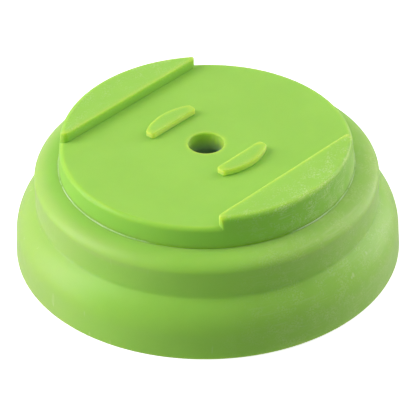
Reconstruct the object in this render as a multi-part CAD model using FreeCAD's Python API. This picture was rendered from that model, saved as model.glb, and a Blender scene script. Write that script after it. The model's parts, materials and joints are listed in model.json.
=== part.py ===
import FreeCAD, Part
import math
import os

# Round, two-tier vibration dampener in soft silicone, resting on its rim.
#
# Frame: millimetres, +Z up, origin at the centre of the circle that the rim rests on.
# The string channels run along X. Everything round is centred on the Z axis.
#
#   outer_skirt   hollow soft body: flat-topped shoulder, crease, shoulder of the skirt, rim
#   slip_washer   thin ring between the body's flat top and the seat
#   string_seat   plate with two stop ridges and two guide ribs, on a stem with a push-in barb

# Heights above the surface that the rim rests on.
SEAT_TOP_Z = 7.57
BEAD_TOP_Z = 6.15
CREASE_Z = 3.65
WIDEST_Z = 1.41
CEILING_Z = 4.50

# Outer skirt, radii.
BEAD_FLAT_RADIUS = 9.24
BEAD_RADIUS = 10.74
CREASE_RADIUS = 10.71
WIDEST_RADIUS = 12.01
RIM_RADIUS = 12.08
BEAD_CORNER_HEIGHT = 0.78
CREASE_BLEND = 0.25
RIM_EDGE_BLEND = 0.08

# Outer skirt, the hollow underneath.
RIM_WALL = 1.75
HOLLOW_TOP_RADIUS = 9.40
HOLLOW_CORNER_RADIUS = 0.80
OPENING_RADIUS = 3.10

# Slip washer.
WASHER_THICKNESS = 0.09
WASHER_OUTER_RADIUS = 9.27
WASHER_INNER_RADIUS = 3.20

# String seat. Its side wall is one cone, from the foot up to the top of the ridges.
SEAT_RADIUS = 9.08
SIDE_DRAFT_DEG = 4.9
SEAT_FOOT_GAP = 0.03
SEAT_EDGE_BLEND = 0.28

# Stop ridges: segments of the plate's own circle, cut straight along the channels.
RIDGE_HEIGHT = 0.68
RIDGE_CHORD_Y = 6.41
RIDGE_HALF_LENGTH = 5.92
RIDGE_CORNER_RADIUS = 0.32
RIDGE_CHORD_BLEND = 0.09

# Guide ribs: segments of a smaller circle round the hole, with blunt ends.
RIB_HEIGHT = 0.41
RIB_CHORD_Y = 2.68
RIB_ARC_RADIUS = 3.82
RIB_HALF_LENGTH = 1.95
RIB_CORNER_RADIUS = 0.20
RIB_EDGE_BLEND = 0.07

# Centre hole: a short land at the top, then a wider relief down through the stem.
# The stem and its barb hold the seat in the skirt.
HOLE_RADIUS = 1.115
HOLE_LAND = 1.20
HOLE_EDGE_BLEND = 0.09
RELIEF_RADIUS = 1.45
STEM_RADIUS = 3.00
BARB_RADIUS = 3.80
BARB_LAND = 0.50
BARB_TIP_RADIUS = 3.05
BARB_TIP_Z = 2.90
BARB_GAP = 0.10

# Two lengths count as the same when they differ by less than this.
TOLERANCE = 1e-3

Z_AXIS = FreeCAD.Vector(0, 0, 1)
ORIGIN = FreeCAD.Vector(0, 0, 0)


def at(radius, height):
    """A point of a profile, in the plane that is turned about Z."""
    return FreeCAD.Vector(radius, 0, height)


def line(start, end):
    return Part.LineSegment(start, end).toShape()


def arc(start, middle, end):
    return Part.Arc(start, middle, end).toShape()


def turned(edges):
    """The solid that a closed profile sweeps out round the Z axis."""
    face = Part.Face(Part.Wire(edges))
    solid = face.revolve(ORIGIN, Z_AXIS, 360)
    return solid if solid.ShapeType == "Solid" else solid.Solids[0]


def side_radius(height):
    """Radius of the seat's drafted side wall at a height."""
    return SEAT_RADIUS - (height - SEAT_TOP_Z) * math.tan(math.radians(SIDE_DRAFT_DEG))


def bead_corner():
    """Quarter ellipse from the shoulder's flat top down to its side wall."""
    half_width = BEAD_RADIUS - BEAD_FLAT_RADIUS
    centre = at(BEAD_FLAT_RADIUS, BEAD_TOP_Z - BEAD_CORNER_HEIGHT)
    side = centre + at(half_width, 0)
    top = centre + at(0, BEAD_CORNER_HEIGHT)
    ellipse = Part.Ellipse(side, top, centre)
    return Part.ArcOfEllipse(ellipse, 0, math.radians(90)).toShape()


def shoulder_arc():
    """Circle arc, upright at the widest point, that ends in the crease."""
    run = WIDEST_RADIUS - CREASE_RADIUS
    rise = CREASE_Z - WIDEST_Z
    radius = (run ** 2 + rise ** 2) / (2 * run)
    centre = at(WIDEST_RADIUS - radius, WIDEST_Z)
    half_angle = math.asin(rise / radius) / 2
    middle = centre + at(radius * math.cos(half_angle), radius * math.sin(half_angle))
    return arc(at(CREASE_RADIUS, CREASE_Z), middle, at(WIDEST_RADIUS, WIDEST_Z))


def outer_skirt():
    wall_foot = BEAD_TOP_Z - BEAD_CORNER_HEIGHT
    rim_inner = RIM_RADIUS - RIM_WALL
    corner = HOLLOW_CORNER_RADIUS
    corner_centre = at(HOLLOW_TOP_RADIUS - corner, CEILING_Z - corner)
    diagonal = corner * math.cos(math.radians(45))
    edges = [
        line(at(OPENING_RADIUS, BEAD_TOP_Z), at(BEAD_FLAT_RADIUS, BEAD_TOP_Z)),
        bead_corner(),
        line(at(BEAD_RADIUS, wall_foot), at(CREASE_RADIUS, CREASE_Z)),
        shoulder_arc(),
        line(at(WIDEST_RADIUS, WIDEST_Z), at(RIM_RADIUS, 0)),
        line(at(RIM_RADIUS, 0), at(rim_inner, 0)),
        line(at(rim_inner, 0), at(HOLLOW_TOP_RADIUS, CEILING_Z - corner)),
        arc(
            at(HOLLOW_TOP_RADIUS, CEILING_Z - corner),
            corner_centre + at(diagonal, diagonal),
            at(HOLLOW_TOP_RADIUS - corner, CEILING_Z),
        ),
        line(at(HOLLOW_TOP_RADIUS - corner, CEILING_Z), at(OPENING_RADIUS, CEILING_Z)),
        line(at(OPENING_RADIUS, CEILING_Z), at(OPENING_RADIUS, BEAD_TOP_Z)),
    ]
    body = turned(edges)
    body = body.makeFillet(CREASE_BLEND, circles_at(body, CREASE_RADIUS, CREASE_Z))
    rim_edges = circles_at(body, RIM_RADIUS, 0) + circles_at(body, rim_inner, 0)
    return body.makeFillet(RIM_EDGE_BLEND, rim_edges)


def circles_at(shape, radius, height):
    """The shape's round edges that have this radius and lie at this height."""
    found = []
    for edge in shape.Edges:
        if not isinstance(edge.Curve, Part.Circle):
            continue
        same_radius = abs(edge.Curve.Radius - radius) < TOLERANCE
        same_height = abs(edge.Curve.Center.z - height) < TOLERANCE
        if same_radius and same_height:
            found.append(edge)
    return found


def slip_washer():
    ring = Part.makeCylinder(WASHER_OUTER_RADIUS, WASHER_THICKNESS, at(0, BEAD_TOP_Z))
    opening = Part.makeCylinder(WASHER_INNER_RADIUS, WASHER_THICKNESS, at(0, BEAD_TOP_Z))
    return ring.cut(opening)


def segment_block(chord_y, half_length, bottom, top):
    """Box over the strip beyond a chord, on the +Y side, wide enough to cut any segment."""
    reach = 2 * SEAT_RADIUS
    corner = FreeCAD.Vector(-half_length, chord_y, bottom)
    return Part.makeBox(2 * half_length, reach, top - bottom, corner)


def upright_edges(shape):
    """Straight upright edges, such as those at a segment's blunt ends."""
    found = []
    for edge in shape.Edges:
        box = edge.BoundBox
        flat_footprint = box.XLength < TOLERANCE and box.YLength < TOLERANCE
        if flat_footprint and box.ZLength > TOLERANCE:
            found.append(edge)
    return found


def rib():
    """Guide rib on the +Y side: a segment with blunt, softened ends."""
    top = SEAT_TOP_Z + RIB_HEIGHT
    disc = Part.makeCylinder(RIB_ARC_RADIUS, top, ORIGIN)
    block = segment_block(RIB_CHORD_Y, RIB_HALF_LENGTH, SEAT_TOP_Z - RIB_HEIGHT, top)
    segment = disc.common(block)
    segment = segment.makeFillet(RIB_CORNER_RADIUS, upright_edges(segment))
    top_edges = [edge for edge in segment.Edges if edge.BoundBox.ZMin > top - TOLERANCE]
    return segment.makeFillet(RIB_EDGE_BLEND, top_edges)


def drafted_plate(bottom, top):
    """Solid of revolution inside the drafted side wall, with a softened top edge."""
    blend = SEAT_EDGE_BLEND
    lean = math.radians(SIDE_DRAFT_DEG)
    corner = at(side_radius(top), top)
    setback = blend * math.tan((math.radians(90) - lean) / 2)
    on_wall = corner + at(setback * math.sin(lean), -setback * math.cos(lean))
    on_top = corner + at(-setback, 0)
    centre = on_top + at(0, -blend)
    halfway = (math.radians(90) + lean) / 2
    middle = centre + at(blend * math.cos(halfway), blend * math.sin(halfway))
    return turned([
        line(at(0, bottom), at(side_radius(bottom), bottom)),
        line(at(side_radius(bottom), bottom), on_wall),
        arc(on_wall, middle, on_top),
        line(on_top, at(0, top)),
        line(at(0, top), at(0, bottom)),
    ])


def ridge():
    """Stop ridge on the +Y side, flush with the plate's side wall."""
    bottom = SEAT_TOP_Z - RIDGE_HEIGHT
    top = SEAT_TOP_Z + RIDGE_HEIGHT
    block = segment_block(RIDGE_CHORD_Y, RIDGE_HALF_LENGTH, bottom, top)
    segment = drafted_plate(bottom, top).common(block)
    at_chord = RIDGE_CHORD_Y + TOLERANCE
    corners = [edge for edge in upright_edges(segment) if edge.CenterOfMass.y < at_chord]
    segment = segment.makeFillet(RIDGE_CORNER_RADIUS, corners)
    inner = [edge for edge in segment.Edges if is_inner_top_edge(edge, top)]
    return segment.makeFillet(RIDGE_CHORD_BLEND, inner)


def is_inner_top_edge(edge, height):
    """True for the top edges along a ridge's chord and round its two corners."""
    box = edge.BoundBox
    flat = box.ZMin > height - TOLERANCE
    near_chord = box.YMin < RIDGE_CHORD_Y + TOLERANCE
    return flat and near_chord


def stem():
    """Stem and barb, a solid of revolution below the plate."""
    foot = SEAT_TOP_Z - RIDGE_HEIGHT
    land_top = CEILING_Z - BARB_GAP
    land_bottom = land_top - BARB_LAND
    corners = [
        at(0, foot),
        at(STEM_RADIUS, foot),
        at(STEM_RADIUS, land_top),
        at(BARB_RADIUS, land_top),
        at(BARB_RADIUS, land_bottom),
        at(BARB_TIP_RADIUS, BARB_TIP_Z),
        at(0, BARB_TIP_Z),
        at(0, foot),
    ]
    edges = [line(start, end) for start, end in zip(corners[:-1], corners[1:])]
    return turned(edges)


def mirrored(shape):
    """The same shape on the -Y side."""
    return shape.mirror(ORIGIN, FreeCAD.Vector(0, 1, 0))


def string_seat():
    foot = BEAD_TOP_Z + WASHER_THICKNESS + SEAT_FOOT_GAP
    raised = ridge()
    guide = rib()
    additions = [raised, mirrored(raised), guide, mirrored(guide), stem()]
    body = drafted_plate(foot, SEAT_TOP_Z).fuse(additions).removeSplitter()
    body = body.cut(Part.makeCylinder(HOLE_RADIUS, SEAT_TOP_Z + RIDGE_HEIGHT, ORIGIN))
    body = body.cut(Part.makeCylinder(RELIEF_RADIUS, SEAT_TOP_Z - HOLE_LAND, ORIGIN))
    return body.makeFillet(HOLE_EDGE_BLEND, circles_at(body, HOLE_RADIUS, SEAT_TOP_Z))


NODES = {
    "outer_skirt": outer_skirt,
    "slip_washer": slip_washer,
    "string_seat": string_seat,
}

os.makedirs("parts", exist_ok=True)
for name, make in NODES.items():
    shape = make()
    shape = shape.Solids[0] if len(shape.Solids) == 1 else shape
    box = shape.optimalBoundingBox(False)
    print(name, shape.ShapeType, len(shape.Solids), shape.isValid(), round(shape.Volume, 2))
    print("  ", round(box.XLength, 3), round(box.YLength, 3), round(box.ZMin, 3), round(box.ZMax, 3))
    shape.exportStep("parts/" + name + ".step")
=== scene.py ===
import json
import math
import bmesh
import bpy
from mathutils import Matrix, Vector


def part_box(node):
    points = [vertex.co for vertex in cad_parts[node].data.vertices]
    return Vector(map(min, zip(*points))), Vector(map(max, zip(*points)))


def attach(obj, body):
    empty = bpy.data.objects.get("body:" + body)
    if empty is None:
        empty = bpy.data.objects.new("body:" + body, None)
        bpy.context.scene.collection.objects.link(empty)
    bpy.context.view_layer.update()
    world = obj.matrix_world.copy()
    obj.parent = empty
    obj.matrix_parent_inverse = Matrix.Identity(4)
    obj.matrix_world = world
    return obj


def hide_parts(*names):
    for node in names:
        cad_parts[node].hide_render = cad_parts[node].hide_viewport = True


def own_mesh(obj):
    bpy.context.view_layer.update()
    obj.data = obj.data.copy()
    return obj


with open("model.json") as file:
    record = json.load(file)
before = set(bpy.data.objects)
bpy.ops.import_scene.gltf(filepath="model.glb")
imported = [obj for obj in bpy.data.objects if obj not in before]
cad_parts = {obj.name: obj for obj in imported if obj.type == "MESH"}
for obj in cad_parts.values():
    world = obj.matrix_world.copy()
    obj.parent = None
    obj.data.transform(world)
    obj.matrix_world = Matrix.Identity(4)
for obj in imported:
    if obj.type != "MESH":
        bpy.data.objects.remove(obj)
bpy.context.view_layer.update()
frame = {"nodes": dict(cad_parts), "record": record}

MM = 0.001


def named(rows, name):
    """The first row of a list that has the given name."""
    return next(row for row in rows if row["name"] == name)


# Read from the frame: the skirt's height and rim radius, and the plate's top.
SKIRT_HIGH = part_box("outer_skirt")[1]
SKIRT_HEIGHT = SKIRT_HIGH.z
PLATE_TOP = named(frame["record"]["mounts"], "string_channel_back")["pos_m"][2]

# Section of the skirt. Its rim radius and height come from the CAD node's box. SLUMP is how
# far it is out of round at its foot.
OPENING_RADIUS = 3.10 * MM
BEAD_FLAT_RADIUS = 9.24 * MM
BEAD_RADIUS = 10.74 * MM
BEAD_CORNER_HEIGHT = 0.78 * MM
CREASE_RADIUS = 10.71 * MM
CREASE_Z = 3.65 * MM
CREASE_BLEND = 0.25 * MM
WIDEST_RADIUS = 12.01 * MM
WIDEST_Z = 1.41 * MM
RIM_WALL = 1.75 * MM
RIM_EDGE_BLEND = 0.08 * MM
HOLLOW_TOP_RADIUS = 9.40 * MM
HOLLOW_CORNER_RADIUS = 0.80 * MM
CEILING_Z = 4.50 * MM
SLUMP = 0.015 * MM

# A turned piece: its sections round the axis, and the bend that still looks smooth.
AROUND = 288
SMOOTH_BEND_DEG = 35

# Waves round a piece: the share of each, its number of lobes and its start in radians.
SLUMP_WAVES = [(0.6, 2, 0.7), (0.4, 5, 2.1)]
RAGGED_WAVES = [(0.5, 37, 0.0), (0.5, 61, 1.3)]

# Slip washer. Its height and outer radius come from the CAD node's box. The edge is trimmed a
# little all round and more on one stretch, where it stays under the seat. That stretch is given
# in degrees: the turn of its middle from the camera, its half width and its fade at both ends.
WASHER_INNER_RADIUS = 3.20 * MM
SEAT_FOOT_RADIUS = 9.19 * MM
FILM_TRIM = 0.015 * MM
FILM_HIDDEN_TRIM = 0.085 * MM
FILM_RAGGED = 0.02 * MM
HIDDEN_TURN = 5
HIDDEN_HALF = 21
HIDDEN_FADE = 16

# Camera: where it stands round the part, and the point close to the axis that it looks at.
VIEW_AZIMUTH = -46.42
VIEW_ELEVATION = 35.43
VIEW_ROLL = -0.944
VIEW_DISTANCE = 200.59 * MM
VIEW_WIDTH_DEG = 7.445
VIEW_CLIP_START = 10 * MM
AIM_HEIGHT = 2.625 * MM
AIM_ASIDE = 0.047 * MM

# Stage. A lamp's turn is counted from the camera, positive to its right, in degrees.
WHITE = (1.0, 1.0, 1.0, 1.0)
FLOOR_SIZE = 2.0
FLOOR_SHADES = [(0.93, 0.93, 0.93, 1.0), (0.95, 0.95, 0.95, 1.0)]
FLOOR_ROUGHNESS = 0.9
FLOOR_GLOW = 0.6
LAMP_COLOUR = (1.15, 1.0, 1.15)
LAMP_DISTANCE = 400 * MM
LAMP_SIZE = 220 * MM
LAMPS = [
    # name, turn, elevation, watts
    ("left_high", -90, 40, 0.82),
    ("left_low", -90, 10, 0.67),
    ("right_high", 120, 40, 0.42),
    ("right_low", 120, 10, 0.54),
]
SURROUND_ABOVE = 0.47
SURROUND_BELOW = 0.40
HORIZON_FADE = 0.1


# ---------------------------------------------------------------- node helpers

def new_material(name):
    """An empty material, its node tree and its surface shader."""
    material = bpy.data.materials.new(name)
    material.use_nodes = True
    tree = material.node_tree
    tree.nodes.clear()
    shader = tree.nodes.new("ShaderNodeBsdfPrincipled")
    output = tree.nodes.new("ShaderNodeOutputMaterial")
    tree.links.new(shader.outputs["BSDF"], output.inputs["Surface"])
    return material, tree, shader


def node(tree, kind, inputs=None, **settings):
    """A new node, with its settings and its inputs, linked or plain."""
    made = tree.nodes.new(kind)
    for key, value in settings.items():
        setattr(made, key, value)
    for key, value in (inputs or {}).items():
        connect(tree, value, made.inputs[key])
    return made


def connect(tree, value, socket):
    """Link an output socket, or set a plain value."""
    if isinstance(value, bpy.types.NodeSocket):
        tree.links.new(value, socket)
    else:
        socket.default_value = value


def coordinates(tree):
    """The piece's own coordinates, in metres."""
    return node(tree, "ShaderNodeTexCoord").outputs["Object"]


def noise(tree, where, scale, detail, roughness=0.5):
    """Soft noise, with its scale in repeats per unit of the coordinates."""
    made = node(tree, "ShaderNodeTexNoise", {
        "Vector": where, "Scale": scale, "Detail": detail, "Roughness": roughness,
    })
    return made.outputs["Fac"]


def remap(tree, value, low, high, to_low=0.0, to_high=1.0):
    """Smooth step from one level to another while a value goes from low to high."""
    made = node(tree, "ShaderNodeMapRange", {
        "Value": value, "From Min": low, "From Max": high,
        "To Min": to_low, "To Max": to_high,
    }, interpolation_type="SMOOTHSTEP")
    return made.outputs["Result"]


def pattern(tree, where, scale, detail, low, high, roughness=0.5, to_low=0.0, to_high=1.0):
    """Noise that is cut off below low and above high, for patches with soft edges."""
    return remap(tree, noise(tree, where, scale, detail, roughness), low, high, to_low, to_high)


def math_node(tree, operation, first, second):
    """One step of arithmetic on two values."""
    made = node(tree, "ShaderNodeMath", {0: first, 1: second}, operation=operation)
    return made.outputs[0]


def blend_colours(tree, factor, first, second):
    """Mix of two colours. The node's colour sockets are inputs 6 and 7 and output 2."""
    made = node(tree, "ShaderNodeMix", data_type="RGBA")
    connect(tree, factor, made.inputs[0])
    connect(tree, first, made.inputs[6])
    connect(tree, second, made.inputs[7])
    return made.outputs[2]


def stretched(tree, where, scale, turn=0.0):
    """Coordinates scaled along each axis, then turned about Z."""
    made = node(tree, "ShaderNodeMapping", {
        "Vector": where, "Scale": scale, "Rotation": (0.0, 0.0, turn),
    })
    return made.outputs["Vector"]


def along(tree, where, axis):
    """One coordinate of a point: X, Y or Z."""
    return node(tree, "ShaderNodeSeparateXYZ", {"Vector": where}).outputs[axis]


def product(tree, *factors):
    """All the factors multiplied together."""
    result = factors[0]
    for factor in factors[1:]:
        result = math_node(tree, "MULTIPLY", result, factor)
    return result


def radius_out(tree, where):
    """Distance from the part's axis."""
    flat = node(tree, "ShaderNodeCombineXYZ", {
        "X": along(tree, where, "X"), "Y": along(tree, where, "Y"),
    })
    length = node(tree, "ShaderNodeVectorMath", {0: flat.outputs[0]}, operation="LENGTH")
    return length.outputs["Value"]


def reach_towards(tree, where, level_direction):
    """Dot product of a point with a level direction, which is given as its X and Y."""
    x_part = product(tree, along(tree, where, "X"), level_direction[0])
    y_part = product(tree, along(tree, where, "Y"), level_direction[1])
    return math_node(tree, "ADD", x_part, y_part)


def add_bump(tree, shader, height, strength, distance):
    """Fine relief that only the shading shows."""
    bump = node(tree, "ShaderNodeBump", {
        "Strength": strength, "Distance": distance, "Height": height,
    })
    tree.links.new(bump.outputs["Normal"], shader.inputs["Normal"])


def set_values(shader, values):
    """Plain values, set on the shader's own sockets."""
    for name, value in values.items():
        shader.inputs[name].default_value = value


# ---------------------------------------------------------------- materials

GREEN = (0.306, 0.657, 0.045, 1.0)
GREEN_DEEP = (0.286, 0.628, 0.037, 1.0)
# Painted shade: the deeper green of the seat's side wall where it is in shade.
WALL_PAINTED_SHADE = (0.262, 0.628, 0.034, 1.0)
# Painted light: the yellow glow along thin top edges.
PAINTED_EDGE_LIGHT = (0.43, 0.68, 0.035, 1.0)
# Pale dust on one side; the same colour is also a painted sheen on the side of the left-hand lamps.
PALE_DUST_AND_SHEEN = (0.42, 0.62, 0.14, 1.0)
FLECK = (0.70, 0.82, 0.44, 1.0)
# Painted light: the glow on the rib walls round the hole.
PAINTED_RIB_LIGHT = (0.60, 0.78, 0.13, 1.0)
# Painted light on the hole's upper wall, and painted shade deeper in it.
HOLE_PAINTED_LIGHT = (0.42, 0.72, 0.05, 1.0)
HOLE_PAINTED_SHADE = (0.220, 0.400, 0.200, 1.0)
# The film's pale colours are a painted highlight on its exposed edge, patchy with wear.
FILM_CLEAR = (0.40, 0.71, 0.20, 1.0)
FILM_GLINT_PALE = (0.60, 0.85, 0.42, 1.0)

# Level directions, as X and Y, towards the side that is dusty and the side that gets a painted sheen.
DUSTY_DIRECTION = (0.35, -1.0)
SHEEN_PAINT_DIRECTION = (-0.80, 0.59)

# Where each look starts and where it is in full. DUST_REACH is taken along DUSTY_DIRECTION. The
# painted sheen's shares are the reach along the direction towards it divided by the radius. An
# edge's share is how much of its inside is clear of other faces within EDGE_REACH.
DUST_REACH = (4.6 * MM, 10.5 * MM)
DUST_SETTLED_HEIGHTS = (4.6 * MM, 5.3 * MM)
SHEEN_PAINT_RADII = (9.6 * MM, 10.4 * MM)
SHEEN_PAINT_SHARES = (0.66, 0.98)
SHEEN_PAINT_BEAD_SHARES = (0.30, 0.85)
SHEEN_PAINT_BEAD_HEIGHTS = (4.9 * MM, 5.3 * MM)
SEAT_WALL_HEIGHTS = (SKIRT_HEIGHT + 0.02 * MM, SKIRT_HEIGHT + 0.08 * MM)
SEAT_WALL_RADII = (8.93 * MM, 9.03 * MM)
SIDE_WALL_RADII = (8.85 * MM, 8.98 * MM)
OUTER_WALL_RADII = (10.6 * MM, 11.0 * MM)
RAISED_HEIGHTS = (PLATE_TOP + 0.15 * MM, PLATE_TOP + 0.35 * MM)
RAISED_WEAR_RADII = (6.4 * MM, 8.7 * MM)
EDGE_HEIGHTS = (PLATE_TOP - 0.60 * MM, PLATE_TOP - 0.45 * MM)
EDGE_CLEAR_SHARES = (0.92, 0.60)
RIB_FOOT_HEIGHTS = (PLATE_TOP + 0.02 * MM, PLATE_TOP + 0.10 * MM)
RIB_TOP_HEIGHTS = (PLATE_TOP + 0.40 * MM, PLATE_TOP + 0.34 * MM)
RIB_RADII = (4.2 * MM, 4.1 * MM)
HOLE_RADII = (1.55 * MM, 1.50 * MM)
# Painted light near the hole's rim, then painted shade deeper down.
PAINTED_HOLE_SHADING = [
    # depths, colour
    ((0.05 * MM, 0.25 * MM), HOLE_PAINTED_LIGHT),
    ((0.36 * MM, 1.35 * MM), HOLE_PAINTED_SHADE),
]
FILM_OPEN_RADII = (SEAT_FOOT_RADIUS - 0.01 * MM, SEAT_FOOT_RADIUS + 0.02 * MM)

EDGE_REACH = 0.50 * MM
EDGE_SAMPLES = 12

# How strong each look is in full. The levels are those of the noise between which grains show.
# Strength of the painted light on the rib walls.
PAINTED_RIB_LIGHT_AMOUNT = 0.8
# Strength of the painted sheen.
SHEEN_PAINT_AMOUNT = 0.42
DUST_SETTLED_GAIN = 2.2
RUB_AMOUNT = 0.35
STREAK_AMOUNT = 0.6
RAISED_WEAR = (0.25, 1.0)
GRAIN_BY_SIDE = (0.45, 0.95)
SPOT_LEVELS = (0.42, 0.64)
GRAIN_LEVELS = (0.46, 0.68)
DIRT_ROUGHNESS = 0.30

# Patterns, with scales in repeats per metre. A stretch gives them along X, Y and Z, for a
# noise of scale 1. The flecks' turn only changes which part of the noise is used.
MOTTLE = {"scale": 220.0, "detail": 4.0, "roughness": 0.55, "low": 0.35, "high": 0.65}
EDGE_RAGGED = {
    "scale": 3600.0, "detail": 3.0, "roughness": 0.65, "low": 0.30, "high": 0.62, "to_low": 0.45,
}
CLOUDY = {
    "scale": 2600.0, "detail": 4.0, "roughness": 0.65, "low": 0.25, "high": 0.70, "to_low": 0.55,
}
STREAK_STRETCH = (420.0, 420.0, 11000.0)
STREAKS = {"scale": 1.0, "detail": 2.0, "roughness": 0.6, "low": 0.50, "high": 0.66}
STREAK_PATCHES = {"scale": 900.0, "detail": 2.0, "low": 0.42, "high": 0.58}
FLECK_STRETCH = (8500.0, 11000.0, 11000.0)
FLECK_TURN = math.radians(20)
FLECKS = {"scale": 1.0, "detail": 2.0, "roughness": 0.6}
FLECK_PATCHES = {"scale": 1100.0, "detail": 3.0, "roughness": 0.6, "low": 0.40, "high": 0.62}
RUB_STRETCH = (2600.0, 2600.0, 520.0)
RUBS = {"scale": 1.0, "detail": 1.0, "roughness": 0.4, "low": 0.70, "high": 0.76}
RUB_PATCHES = {"scale": 300.0, "detail": 2.0, "low": 0.48, "high": 0.60}
SILICONE_ROUGHNESS = {
    "scale": 1500.0, "detail": 3.0, "roughness": 0.6, "low": 0.3, "high": 0.7,
    "to_low": 0.34, "to_high": 0.42,
}
SILICONE_GRAIN = {"scale": 5200.0, "detail": 4.0, "roughness": 0.6}
FILM_WEAR = {"scale": 700.0, "detail": 3.0, "roughness": 0.6}
FILM_PALE_LEVELS = (0.35, 0.65)
FILM_ROUGHNESS_LEVELS = (0.3, 0.7, 0.25, 0.4)
FILM_GRAIN = {"scale": 6000.0, "detail": 3.0, "roughness": 0.6}
FLOOR_MOTTLE = {"scale": 6.0, "detail": 3.0}

SILICONE_SURFACE = {
    "Subsurface Weight": 1.0,
    "Subsurface Radius": (1.1, 1.0, 0.25),
    "Subsurface Scale": 0.6 * MM,
    "IOR": 1.45,
    "Specular IOR Level": 0.29,
    "Sheen Roughness": 0.8,
}
SILICONE_BUMP = {"strength": 0.2, "distance": 0.02 * MM}
FILM_SURFACE = {
    "Subsurface Weight": 0.4,
    "Subsurface Radius": (1.0, 1.0, 0.6),
    "Subsurface Scale": 0.2 * MM,
    "Specular IOR Level": 0.20,
}
FILM_BUMP = {"strength": 0.15, "distance": 0.01 * MM}


def dusty_side(tree, where):
    """0 on the clean side of the part, 1 on the -Y side that has gathered dust."""
    return remap(tree, reach_towards(tree, where, DUSTY_DIRECTION), *DUST_REACH)


def painted_sheen_side(tree, where):
    """0 over most of the part, 1 on the stretch with a painted sheen facing the left-hand lamps, wider
    on the bead.
    """
    radius = radius_out(tree, where)
    share = math_node(tree, "DIVIDE", reach_towards(tree, where, SHEEN_PAINT_DIRECTION), radius)
    off_the_top = remap(tree, radius, *SHEEN_PAINT_RADII)
    on_bead = remap(tree, along(tree, where, "Z"), *SHEEN_PAINT_BEAD_HEIGHTS)
    narrow = remap(tree, share, *SHEEN_PAINT_SHARES)
    wide = product(tree, remap(tree, share, *SHEEN_PAINT_BEAD_SHARES), on_bead)
    return product(tree, math_node(tree, "MAXIMUM", narrow, wide), off_the_top)


def shaded_seat_wall(tree, where):
    """1 on the seat's side wall, which gets a painted shade of deeper green, else 0."""
    above_skirt = remap(tree, along(tree, where, "Z"), *SEAT_WALL_HEIGHTS)
    outside = remap(tree, radius_out(tree, where), *SEAT_WALL_RADII)
    return product(tree, above_skirt, outside)


def raised(tree, where):
    """0 up to the plate's top, 1 on the tops of the ribs and ridges."""
    return remap(tree, along(tree, where, "Z"), *RAISED_HEIGHTS)


def thin_edges(tree, where):
    """0 on broad faces to 1 at a top edge, which gets painted light as if light came through from both
    sides.
    """
    near_top = remap(tree, along(tree, where, "Z"), *EDGE_HEIGHTS)
    inside = node(
        tree, "ShaderNodeAmbientOcclusion", {"Distance": EDGE_REACH},
        samples=EDGE_SAMPLES, inside=True, only_local=True,
    )
    return product(tree, remap(tree, inside.outputs["AO"], *EDGE_CLEAR_SHARES), near_top)


def painted_rib_light_mask(tree, where):
    """1 on the walls of the small ribs round the hole, which get painted light as if lit through, else
    0.
    """
    height = along(tree, where, "Z")
    above = remap(tree, height, *RIB_FOOT_HEIGHTS)
    below = remap(tree, height, *RIB_TOP_HEIGHTS)
    near_axis = remap(tree, radius_out(tree, where), *RIB_RADII)
    return product(tree, above, below, near_axis)


def painted_hole_shade(tree, where, depths):
    """0 outside the centre hole, and inside it from 0 to 1 between two depths, for its painted light
    and shade.
    """
    depth = math_node(tree, "SUBTRACT", PLATE_TOP, along(tree, where, "Z"))
    near_axis = remap(tree, radius_out(tree, where), *HOLE_RADII)
    return product(tree, remap(tree, depth, *depths), near_axis)


def wiped_streaks(tree, where):
    """Fine level streaks, drawn along the side walls."""
    streaks = pattern(tree, stretched(tree, where, STREAK_STRETCH), **STREAKS)
    return product(tree, streaks, pattern(tree, where, **STREAK_PATCHES))


def flecks(tree, where, levels):
    """Fine pale grains, a little longer along X, that come in loose patches."""
    drawn_out = stretched(tree, where, FLECK_STRETCH, FLECK_TURN)
    fine = remap(tree, noise(tree, drawn_out, **FLECKS), *levels)
    return product(tree, fine, pattern(tree, where, **FLECK_PATCHES))


def rubs(tree, where):
    """A few short upright rubs on the outer wall."""
    strokes = pattern(tree, stretched(tree, where, RUB_STRETCH), **RUBS)
    outer_wall = remap(tree, radius_out(tree, where), *OUTER_WALL_RADII)
    return product(tree, strokes, pattern(tree, where, **RUB_PATCHES), outer_wall)


def clean_colour(tree, where, edge_light_amount):
    """Mottled green, with painted shade on the seat's wall and painted light at thin edges and rib
    walls.
    """
    colour = blend_colours(tree, pattern(tree, where, **MOTTLE), GREEN_DEEP, GREEN)
    # Painted shade on the seat's side wall.
    colour = blend_colours(tree, shaded_seat_wall(tree, where), colour, WALL_PAINTED_SHADE)
    # Painted light along the thin top edges, ragged.
    ragged = pattern(tree, where, **EDGE_RAGGED)
    painted_light = product(tree, thin_edges(tree, where), ragged, edge_light_amount)
    colour = blend_colours(tree, painted_light, colour, PAINTED_EDGE_LIGHT)
    # Painted light on the rib walls.
    painted_light = product(tree, painted_rib_light_mask(tree, where), PAINTED_RIB_LIGHT_AMOUNT)
    return blend_colours(tree, painted_light, colour, PAINTED_RIB_LIGHT)


def dust_and_painted_sheen(tree, where, side, amount):
    """How pale the surface is: the larger of a film of dust and a painted sheen."""
    settled = remap(
        tree, along(tree, where, "Z"), *DUST_SETTLED_HEIGHTS, to_low=1.0, to_high=DUST_SETTLED_GAIN,
    )
    dust = product(tree, side, pattern(tree, where, **CLOUDY), settled, amount)
    return math_node(tree, "MAXIMUM", dust, product(tree, painted_sheen_side(tree, where), SHEEN_PAINT_AMOUNT))


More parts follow.
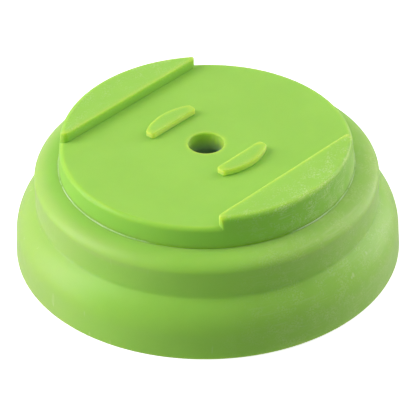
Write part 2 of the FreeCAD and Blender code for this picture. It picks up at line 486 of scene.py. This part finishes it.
def pale_dirt(tree, where, side, amount):
    """How much pale dirt there is: spots, grain on the raised tops, rubs or streaks."""
    edge_wear = remap(tree, radius_out(tree, where), *RAISED_WEAR_RADII, *RAISED_WEAR)
    on_top = product(tree, raised(tree, where), edge_wear)
    walls = remap(tree, radius_out(tree, where), *SIDE_WALL_RADII)
    spots = product(tree, flecks(tree, where, SPOT_LEVELS), side, walls, amount)
    by_side = remap(tree, side, 0.0, 1.0, *GRAIN_BY_SIDE)
    grain = product(tree, flecks(tree, where, GRAIN_LEVELS), on_top, amount, by_side)
    streaks = product(tree, wiped_streaks(tree, where), side, walls, amount, STREAK_AMOUNT)
    dirt = spots
    for kind in (grain, product(tree, rubs(tree, where), RUB_AMOUNT), streaks):
        dirt = math_node(tree, "MAXIMUM", dirt, kind)
    return dirt


def silicone(name, edge_light_amount, haze_amount, fleck_amount, sheen):
    """Soft translucent green silicone, dusty and dirty on one side, with painted light at edges and in
    a sheen, and painted shade on the seat's wall and in its hole.
    """
    material, tree, shader = new_material(name)
    where = coordinates(tree)
    side = dusty_side(tree, where)
    dirt = pale_dirt(tree, where, side, fleck_amount)
    colour = clean_colour(tree, where, edge_light_amount)
    # Pale dust, and a painted sheen on the side of the left-hand lamps.
    colour = blend_colours(tree, dust_and_painted_sheen(tree, where, side, haze_amount), colour, PALE_DUST_AND_SHEEN)
    colour = blend_colours(tree, dirt, colour, FLECK)
    # Painted light, then painted shade, down the centre hole.
    for depths, shade in PAINTED_HOLE_SHADING:
        colour = blend_colours(tree, painted_hole_shade(tree, where, depths), colour, shade)
    connect(tree, colour, shader.inputs["Base Color"])

    worn = pattern(tree, where, **SILICONE_ROUGHNESS)
    rough = math_node(tree, "ADD", worn, product(tree, dirt, DIRT_ROUGHNESS))
    connect(tree, rough, shader.inputs["Roughness"])
    relief = math_node(tree, "ADD", noise(tree, where, **SILICONE_GRAIN), dirt)
    add_bump(tree, shader, relief, **SILICONE_BUMP)
    set_values(shader, SILICONE_SURFACE)
    set_values(shader, {"Sheen Weight": sheen})
    return material


def film(name):
    """Worn plastic film, green under the seat and pale where its edge is in the open; the paleness is a
    painted highlight on that edge, patchy with wear.
    """
    material, tree, shader = new_material(name)
    where = coordinates(tree)
    wear = noise(tree, where, **FILM_WEAR)
    # Painted highlight: pale colours where the edge is in the open.
    pale_glint = blend_colours(tree, remap(tree, wear, *FILM_PALE_LEVELS), FILM_CLEAR, FILM_GLINT_PALE)
    in_the_open = remap(tree, radius_out(tree, where), *FILM_OPEN_RADII)
    colour = blend_colours(tree, in_the_open, GREEN, pale_glint)
    connect(tree, colour, shader.inputs["Base Color"])
    connect(tree, remap(tree, wear, *FILM_ROUGHNESS_LEVELS), shader.inputs["Roughness"])
    add_bump(tree, shader, noise(tree, where, **FILM_GRAIN), **FILM_BUMP)
    set_values(shader, FILM_SURFACE)
    return material


def floor_material():
    """Matt off-white that glows."""
    material, tree, shader = new_material("pale_floor")
    mottle = noise(tree, coordinates(tree), **FLOOR_MOTTLE)
    connect(tree, blend_colours(tree, mottle, *FLOOR_SHADES), shader.inputs["Base Color"])
    set_values(shader, {
        "Roughness": FLOOR_ROUGHNESS,
        "Emission Color": WHITE,
        "Emission Strength": FLOOR_GLOW,
    })
    return material


# ---------------------------------------------------------------- pieces

def paint(piece, material):
    """Give a piece one material all over."""
    for slot in piece.material_slots:
        slot.material = material
    if not piece.material_slots:
        piece.data.materials.append(material)


def sweep(centre, half_width, half_height, start_deg, end_deg, steps):
    """Points on an ellipse about a centre in the profile's plane, from one angle to another."""
    points = []
    for index in range(steps + 1):
        angle = math.radians(start_deg + (end_deg - start_deg) * index / steps)
        points.append((
            centre[0] + half_width * math.cos(angle),
            centre[1] + half_height * math.sin(angle),
        ))
    return points


def run(start, end, steps):
    """Evenly spaced points from a start up to, but without, an end."""
    points = []
    for index in range(steps):
        share = index / steps
        points.append((
            start[0] + (end[0] - start[0]) * share,
            start[1] + (end[1] - start[1]) * share,
        ))
    return points


def crease_blend(wall_foot, arc_centre, arc_radius):
    """Small round that joins the bead's side wall to the skirt's shoulder in the crease."""
    reach = arc_radius + CREASE_BLEND
    centre_x = wall_foot[0] + CREASE_BLEND
    drop = math.sqrt(reach ** 2 - (centre_x - arc_centre[0]) ** 2)
    centre = (centre_x, arc_centre[1] + drop)
    towards_arc = math.degrees(math.atan2(arc_centre[1] - centre[1], arc_centre[0] - centre[0]))
    return sweep(centre, CREASE_BLEND, CREASE_BLEND, 180, 360 + towards_arc, steps=8), centre


def skirt_profile():
    """Closed outline of the skirt's section, from the opening's top edge round the outside."""
    rim_radius = SKIRT_HIGH.x
    top = SKIRT_HIGH.z
    rim_inner = rim_radius - RIM_WALL
    bead_foot = top - BEAD_CORNER_HEIGHT
    points = run((OPENING_RADIUS, top), (BEAD_FLAT_RADIUS, top), steps=30)
    corner_width = BEAD_RADIUS - BEAD_FLAT_RADIUS
    corner = sweep((BEAD_FLAT_RADIUS, bead_foot), corner_width, BEAD_CORNER_HEIGHT, 90, 0, steps=18)
    points += corner[:-1]

    bulge = WIDEST_RADIUS - CREASE_RADIUS
    rise = CREASE_Z - WIDEST_Z
    arc_radius = (bulge ** 2 + rise ** 2) / (2 * bulge)
    arc_centre = (WIDEST_RADIUS - arc_radius, WIDEST_Z)
    blend, blend_centre = crease_blend((CREASE_RADIUS, CREASE_Z), arc_centre, arc_radius)
    points += run(corner[-1], blend[0], steps=14)
    points += blend[:-1]
    top_angle = math.degrees(math.atan2(
        blend_centre[1] - arc_centre[1], blend_centre[0] - arc_centre[0]
    ))
    shoulder = sweep(arc_centre, arc_radius, arc_radius, top_angle, 0, steps=24)
    points += shoulder[:-1]

    blend = RIM_EDGE_BLEND
    points += run(shoulder[-1], (rim_radius, blend), steps=14)
    points += sweep((rim_radius - blend, blend), blend, blend, 0, -90, steps=5)
    points += sweep((rim_inner + blend, blend), blend, blend, -90, -180, steps=5)
    hollow_corner = HOLLOW_CORNER_RADIUS
    wall_top = (HOLLOW_TOP_RADIUS, CEILING_Z - hollow_corner)
    points += run((rim_inner, blend), wall_top, steps=12)[1:]
    corner_centre = (HOLLOW_TOP_RADIUS - hollow_corner, CEILING_Z - hollow_corner)
    points += sweep(corner_centre, hollow_corner, hollow_corner, 0, 90, steps=8)[:-1]
    points += run((HOLLOW_TOP_RADIUS - hollow_corner, CEILING_Z), (OPENING_RADIUS, CEILING_Z), steps=16)
    points += run((OPENING_RADIUS, CEILING_Z), (OPENING_RADIUS, top), steps=6)
    return points


def turned_piece(name, section_at):
    """A closed ring round the axis. section_at gives the section's points at an angle."""
    body = bmesh.new()
    rings = []
    for index in range(AROUND):
        angle = 2 * math.pi * index / AROUND
        ring = []
        for radius, height in section_at(angle):
            place = (radius * math.cos(angle), radius * math.sin(angle), height)
            ring.append(body.verts.new(place))
        rings.append(ring)
    for index, ring in enumerate(rings):
        following = rings[(index + 1) % AROUND]
        for low in range(len(ring)):
            high = (low + 1) % len(ring)
            body.faces.new((ring[low], ring[high], following[high], following[low]))
    bmesh.ops.recalc_face_normals(body, faces=body.faces)
    mesh = bpy.data.meshes.new(name)
    body.to_mesh(mesh)
    body.free()
    mesh.shade_smooth()
    mesh.set_sharp_from_angle(angle=math.radians(SMOOTH_BEND_DEG))
    piece = bpy.data.objects.new(name, mesh)
    bpy.context.collection.objects.link(piece)
    return piece


def unevenness(angle, waves):
    """A level from 0 to 1 that varies round the part as a sum of waves."""
    return (1 + sum(share * math.sin(lobes * angle + start) for share, lobes, start in waves)) / 2


def outer_skirt():
    """The hollow silicone body, very slightly out of round towards its rim."""
    profile = skirt_profile()

    def section_at(angle):
        inward = SLUMP * unevenness(angle, SLUMP_WAVES)
        return [(radius - inward * (1 - z / SKIRT_HEIGHT), z) for radius, z in profile]

    skirt = turned_piece("soft_skirt", section_at)
    paint(skirt, silicone(
        "silicone_skirt", edge_light_amount=0.0, haze_amount=0.19, fleck_amount=0.24, sheen=0.17,
    ))
    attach(skirt, "skirt")
    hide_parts("outer_skirt")
    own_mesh(skirt)


def slip_washer():
    """The thin film ring, trimmed unevenly: its edge shows all round but at one stretch."""
    low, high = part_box("slip_washer")
    # An azimuth starts at -Y, so it is 90 degrees more than the angle from +X.
    hidden_middle = math.radians(VIEW_AZIMUTH - 90 + HIDDEN_TURN)

    def section_at(angle):
        away = abs(math.remainder(angle - hidden_middle, 2 * math.pi))
        share = min(1.0, max(0.0, (math.degrees(away) - HIDDEN_HALF) / HIDDEN_FADE))
        ragged = FILM_RAGGED * unevenness(angle, RAGGED_WAVES)
        trimmed = FILM_TRIM + FILM_HIDDEN_TRIM * (1 - share) + ragged
        outer = high.x - trimmed
        inner = WASHER_INNER_RADIUS
        return [(inner, low.z), (outer, low.z), (outer, high.z), (inner, high.z)]

    washer = turned_piece("film_washer", section_at)
    paint(washer, film("washer_film"))
    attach(washer, "washer")
    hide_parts("slip_washer")


outer_skirt()
slip_washer()
paint(frame["nodes"]["string_seat"], silicone(
    "silicone_seat", edge_light_amount=0.8, haze_amount=0.02, fleck_amount=0.62, sheen=0.13,
))


# ---------------------------------------------------------------- stage

def make_floor():
    """A level floor that casts no light or shadow on the part."""
    half = FLOOR_SIZE / 2
    mesh = bpy.data.meshes.new("floor")
    corners = [(-half, -half, 0), (half, -half, 0), (half, half, 0), (-half, half, 0)]
    mesh.from_pydata(corners, [], [(0, 1, 2, 3)])
    floor = bpy.data.objects.new("floor", mesh)
    bpy.context.collection.objects.link(floor)
    mesh.materials.append(floor_material())
    floor.visible_diffuse = False
    floor.visible_glossy = False
    floor.visible_shadow = False


def direction(azimuth_deg, elevation_deg):
    """Unit vector from the part towards a place round it. Azimuth 0 is the -Y side."""
    azimuth = math.radians(azimuth_deg)
    elevation = math.radians(elevation_deg)
    return Vector((
        math.sin(azimuth) * math.cos(elevation),
        -math.cos(azimuth) * math.cos(elevation),
        math.sin(elevation),
    ))


def facing(towards):
    """Rotation of a lamp or camera that looks back along a direction."""
    return towards.to_track_quat("Z", "Y").to_matrix()


def softbox(name, turn, elevation, power):
    """Square soft light that faces the part."""
    lamp = bpy.data.lights.new(name, "AREA")
    lamp.shape = "SQUARE"
    lamp.size = LAMP_SIZE
    lamp.energy = power
    lamp.color = LAMP_COLOUR
    holder = bpy.data.objects.new(name, lamp)
    towards = direction(VIEW_AZIMUTH + turn, elevation)
    place = towards * LAMP_DISTANCE + Vector((0, 0, SKIRT_HEIGHT / 2))
    holder.matrix_world = Matrix.Translation(place) @ facing(towards).to_4x4()
    bpy.context.collection.objects.link(holder)


def make_surround(above, below):
    """Even grey studio walls, dimmer below the horizon than above it."""
    world = bpy.data.worlds.new("studio")
    world.use_nodes = True
    tree = world.node_tree
    ray = node(tree, "ShaderNodeTexCoord").outputs["Generated"]
    height = along(tree, ray, "Z")
    level = remap(tree, height, -HORIZON_FADE, HORIZON_FADE, below, above)
    background = tree.nodes["Background"]
    background.inputs["Color"].default_value = WHITE
    connect(tree, level, background.inputs["Strength"])
    bpy.context.scene.world = world


def make_camera():
    """The main camera, aimed near the part's axis and rolled a little."""
    azimuth = math.radians(VIEW_AZIMUTH)
    right = Vector((math.cos(azimuth), math.sin(azimuth), 0))
    aim = right * AIM_ASIDE + Vector((0, 0, AIM_HEIGHT))
    towards = direction(VIEW_AZIMUTH, VIEW_ELEVATION)
    roll = Matrix.Rotation(math.radians(VIEW_ROLL), 4, "Z")
    lens = bpy.data.cameras.new("camera")
    lens.angle = math.radians(VIEW_WIDTH_DEG)
    lens.clip_start = VIEW_CLIP_START
    camera = bpy.data.objects.new("camera", lens)
    place = Matrix.Translation(aim + towards * VIEW_DISTANCE)
    camera.matrix_world = place @ facing(towards).to_4x4() @ roll
    bpy.context.collection.objects.link(camera)
    bpy.context.scene.camera = camera


make_floor()
for name, turn, elevation, power in LAMPS:
    softbox(name, turn, elevation, power)
make_surround(SURROUND_ABOVE, SURROUND_BELOW)
make_camera()
bpy.context.scene.view_settings.view_transform = "Standard"
